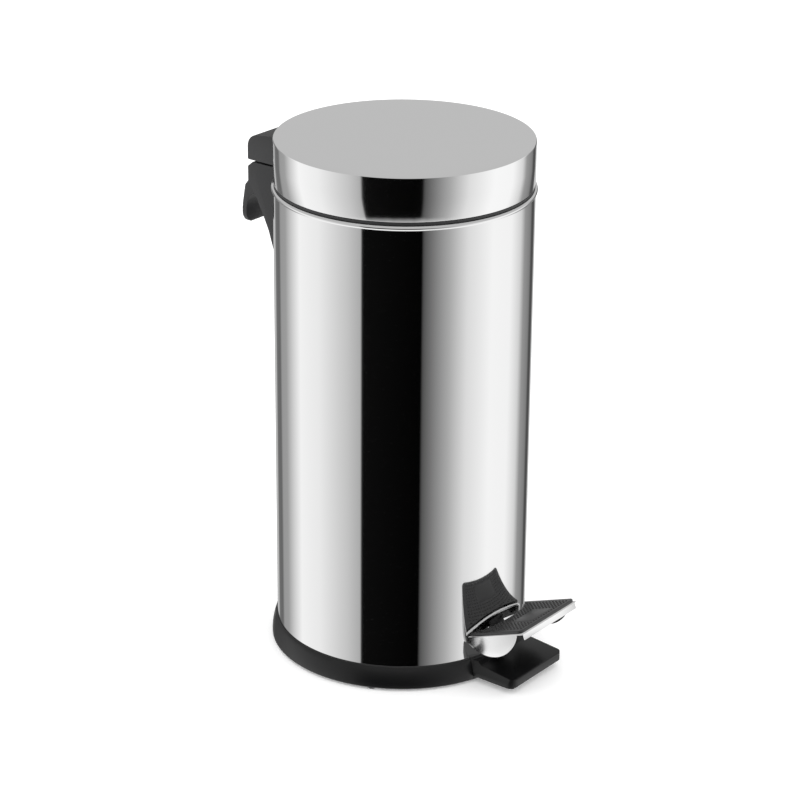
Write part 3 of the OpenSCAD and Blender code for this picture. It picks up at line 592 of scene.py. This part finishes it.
def make_studio(back, right):
    """White surroundings, and for mirror reflections a ring of white and black card."""
    world = bpy.data.worlds.new("studio")
    bpy.context.scene.world = world
    world.use_nodes = True
    tree = world.node_tree
    tree.nodes.clear()
    look = add_node(tree, "ShaderNodeTexCoord").outputs["Generated"]
    parts = [add_node(tree, "ShaderNodeVectorMath", [(0, look)], operation="DOT_PRODUCT", in_1=way)
             for way in (right, back)]
    turn = add_node(tree, "ShaderNodeMath", [(i, p.outputs["Value"]) for i, p in enumerate(parts)],
                    operation="ARCTAN2")
    share = add_node(tree, "ShaderNodeMapRange", [("Value", turn.outputs["Value"])],
                     in_1=-math.pi, in_2=math.pi)
    ramp = add_node(tree, "ShaderNodeValToRGB", [("Fac", share.outputs["Result"])])
    stops = ramp.color_ramp.elements
    for place, value in STUDIO[1:-1]:
        stops.new((place + 180) / 360)
    for stop, (place, value) in zip(stops, STUDIO):
        stop.position = (place + 180) / 360
        stop.color = (value, value, value, 1)
    height = add_node(tree, "ShaderNodeSeparateXYZ", [("Vector", look)]).outputs["Z"]
    high = add_node(tree, "ShaderNodeMapRange", [("Value", height)], in_1=0.0, in_2=0.1)
    low = add_node(tree, "ShaderNodeMapRange", [("Value", height)], in_1=-0.6, in_2=-0.75)
    cards = add_node(tree, "ShaderNodeMix",
                     [("Factor", high.outputs["Result"]), (6, ramp.outputs["Color"])],
                     data_type="RGBA", in_7=(CEILING, CEILING, CEILING, 1))
    floor = add_node(tree, "ShaderNodeMix",
                     [("Factor", low.outputs["Result"]), (6, cards.outputs[2])],
                     data_type="RGBA", in_7=(1, 1, 1, 1))
    mirror = add_node(tree, "ShaderNodeBackground", [("Color", floor.outputs[2])])
    plain = add_node(tree, "ShaderNodeBackground", in_Color=(1, 1, 1, 1), in_Strength=1.3)
    ray = add_node(tree, "ShaderNodeLightPath").outputs["Is Glossy Ray"]
    mix = add_node(tree, "ShaderNodeMixShader",
                   [(0, ray), (1, plain.outputs[0]), (2, mirror.outputs[0])])
    add_node(tree, "ShaderNodeOutputWorld", [("Surface", mix.outputs[0])])
    world.cycles.sampling_method = "NONE"
    bpy.context.scene.view_settings.view_transform = "Standard"


# ---------------------------------------------------------------- the bin

BACK, RIGHT = place_camera()
make_studio(BACK, RIGHT)
make_floor()
make_shell()
make_lid()
make_cover()
make_pad()

BIN, LID, PEDAL, ROD = "bin", "lid", "pedal", "rod"
for row in (
    ("bottom_disc", BIN, "satin_steel", SATIN_STEEL, 0.3, 2),
    ("base_ring", BIN, "black_plastic", BASE_PP, 0.5, 2),
    ("stabiliser_foot", BIN, "black_plastic", BASE_PP, 0.9, 3),
    ("rubber_feet", BIN, "black_rubber", RUBBER, 0.4, 2),
    ("foot_screws", BIN, "zinc_steel", ZINC, 0.3, 2),
    ("top_collar", BIN, "black_plastic", BLACK_PP, 0.3, 2),
    ("bearing_left", BIN, "black_plastic", BLACK_PP, 0.5, 2),
    ("bearing_right", BIN, "black_plastic", BLACK_PP, 0.5, 2),
    ("bearing_rivets", BIN, "zinc_steel", ZINC, 0.4, 2),
    ("pedal_pivot_pin", BIN, "zinc_steel", ZINC, 0.3, 2),
    ("pivot_pin_clip", BIN, "zinc_steel", ZINC, 0.15, 2),
    ("rear_bracket", BIN, "black_plastic", BLACK_PP, 0.8, 3),
    ("hinge_pin", BIN, "zinc_steel", ZINC, 0.4, 2),
    ("bracket_screws", BIN, "zinc_steel", ZINC, 0.3, 2),
    ("pedal_lever", PEDAL, "black_enamel", ENAMEL, 0.3, 2),
    ("pedal_rivets", PEDAL, "zinc_steel", ZINC, 0.4, 2),
    ("push_rod", ROD, "zinc_steel", WIRE, 0.0, 2),
    ("rod_clips", ROD, "zinc_steel", ZINC, 0.2, 2),
    ("lid_liner", LID, "black_plastic", BLACK_PP, 0.4, 2),
    ("lid_bracket", LID, "black_plastic", BLACK_PP, 0.8, 3),
    ("lid_bracket_screws", LID, "zinc_steel", ZINC, 0.3, 2),
    ("lid_bumpers", LID, "black_rubber", RUBBER, 0.3, 2),
    ("bucket", "bucket", "bucket_plastic", BUCKET_PP, 0.4, 2),
    ("bail_handle", "bail", "chromed_steel", WIRE, 0.0, 2),
    ("bail_grip", "bail", "grip_plastic", GRIP_PP, 0.5, 3),
):
    from_cad(*row)
